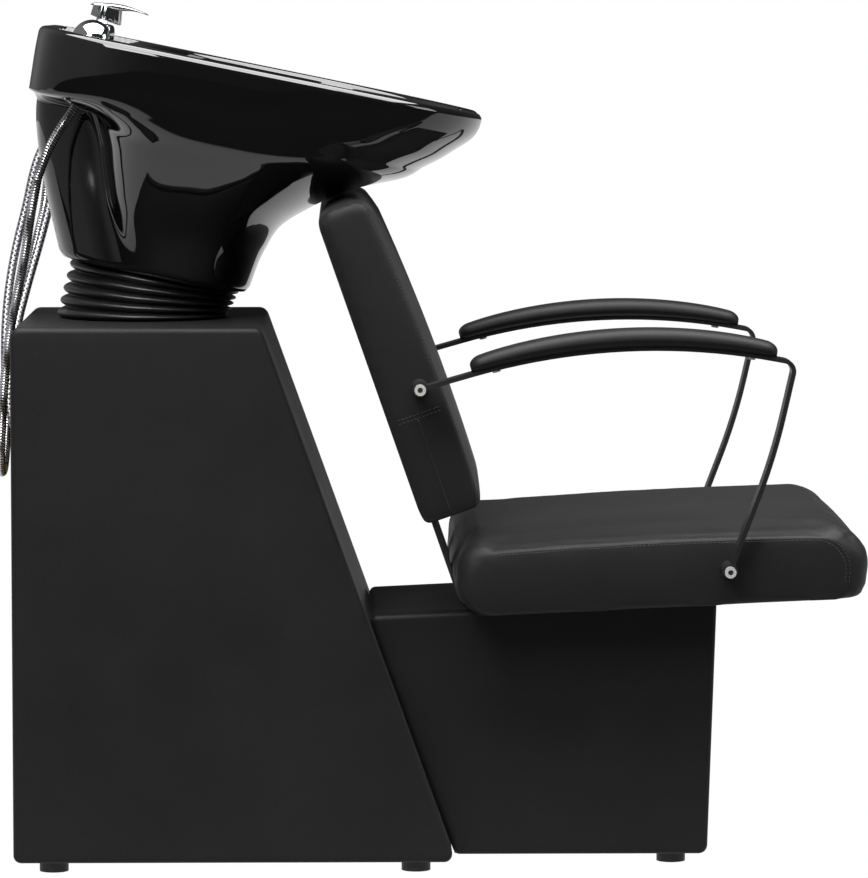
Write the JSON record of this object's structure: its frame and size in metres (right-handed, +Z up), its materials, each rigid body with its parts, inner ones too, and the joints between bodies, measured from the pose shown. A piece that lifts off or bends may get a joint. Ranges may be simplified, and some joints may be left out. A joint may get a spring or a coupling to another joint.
{
  "type": "backwash unit",
  "caption": "Salon backwash unit: tilting black shampoo bowl with tap and hand shower on a padded pedestal, joined to a reclined upholstered seat with padded arms.",
  "frame": {"origin": "middle of the footprint on the floor, cords left out", "axes": "+X from the bowl towards the seat's front, +Y to the left of a seated person, +Z up"},
  "size_m": [0.9936, 0.623, 0.9844],
  "materials": {
    "plywood": "sawn board, unpainted",
    "black_upholstery": "black grained imitation leather over foam",
    "arm_pad_foam": "black integral-skin foam",
    "foot_plastic": "black moulded plastic",
    "zinc_fasteners": "zinc-plated",
    "bracket_steel": "bare rolled steel",
    "black_powder_coat": "black powder coat",
    "bellows_rubber": "black rubber",
    "bowl_gloss": "black gloss",
    "chrome": "bright chrome",
    "dark_plastic": "dark grey plastic",
    "brass_fittings": "plain brass",
    "hose_braid": "braided steel over rubber"
  },
  "bodies": {
    "pedestal": {"pedestal_side_board_left": "plywood", "pedestal_side_board_right": "plywood", "pedestal_front_board": "plywood", "pedestal_top_board": "plywood", "pedestal_rear_board": "plywood", "pedestal_floor_rails": "plywood", "pedestal_side_pad_left": "black_upholstery", "pedestal_side_pad_right": "black_upholstery", "pedestal_wrap": "black_upholstery", "feet": "foot_plastic", "foot_screws": "zinc_fasteners", "seat_base_side_board_left": "plywood", "seat_base_side_board_right": "plywood", "seat_base_front_board": "plywood", "seat_base_top_board": "plywood", "seat_base_rear_board": "plywood", "seat_base_cleat": "plywood", "seat_base_wrap": "black_upholstery", "seat_base_side_pad_left": "black_upholstery", "seat_base_side_pad_right": "black_upholstery", "joining_bolts": "zinc_fasteners", "seat_board": "plywood", "seat_frame_rails": "plywood", "seat_cushion": "black_upholstery", "seat_bolts": "zinc_fasteners", "backrest_board": "plywood", "backrest_frame_rails": "plywood", "backrest_cushion": "black_upholstery", "back_brackets": "bracket_steel", "bracket_bolts": "zinc_fasteners", "arm_bar_left": "black_powder_coat", "arm_bar_right": "black_powder_coat", "arm_pad_left": "arm_pad_foam", "arm_pad_right": "arm_pad_foam", "arm_pad_screws": "zinc_fasteners", "arm_bolts": "zinc_fasteners", "arm_spacers": "black_powder_coat", "tilt_base_bracket": "black_powder_coat", "tilt_pins": "zinc_fasteners", "tilt_friction_washers": "foot_plastic", "tilt_base_screws": "zinc_fasteners", "bellows": "bellows_rubber", "supply_hose_hot": "hose_braid", "supply_hose_cold": "hose_braid", "supply_nuts": "brass_fittings", "shower_hose_loop": "chrome"},
    "basin": {"bowl": "bowl_gloss", "tilt_head_bracket": "black_powder_coat", "tilt_head_screws": "zinc_fasteners", "drain_body": "chrome", "drain_nut": "dark_plastic", "mixer_body": "chrome", "shower_holder": "chrome", "deck_nuts": "brass_fittings", "shower_hose_riser": "chrome"},
    "mixer_swivel": {"mixer_swivel": "chrome"},
    "mixer_lever": {"mixer_lever": "chrome"},
    "hand_shower": {"shower_head": "chrome", "shower_face": "dark_plastic"},
    "strainer": {"strainer": "chrome"}
  },
  "joints": [
    {"name": "basin_tilt", "type": "hinge", "parent": "pedestal", "child": "basin", "pos_m": [-0.33008, 0, 0.6454], "axis": [0, -1, 0], "range_deg": [0, 10], "deforming": ["bellows", "shower_hose_loop", "supply_hose_hot", "supply_hose_cold"]},
    {"name": "tap_swivel", "type": "hinge", "parent": "basin", "child": "mixer_swivel", "pos_m": [-0.3934, 0.094, 0.94606], "axis": [0.1994, 0, 0.9799], "range_deg": [-45, 45]},
    {"name": "tap_lever", "type": "hinge", "parent": "mixer_swivel", "child": "mixer_lever", "pos_m": [-0.3888, 0.094, 0.96869], "axis": [0, -1, 0], "range_deg": [0, 22]},
    {"name": "shower_pull", "type": "slide", "parent": "basin", "child": "hand_shower", "axis": [0.1994, 0, 0.9799], "range_m": [0, 0.12], "deforming": ["shower_hose_riser"]},
    {"name": "strainer_lift", "type": "slide", "parent": "basin", "child": "strainer", "axis": [0.1994, 0, 0.9799], "range_m": [0, 0.04]}
  ]
}
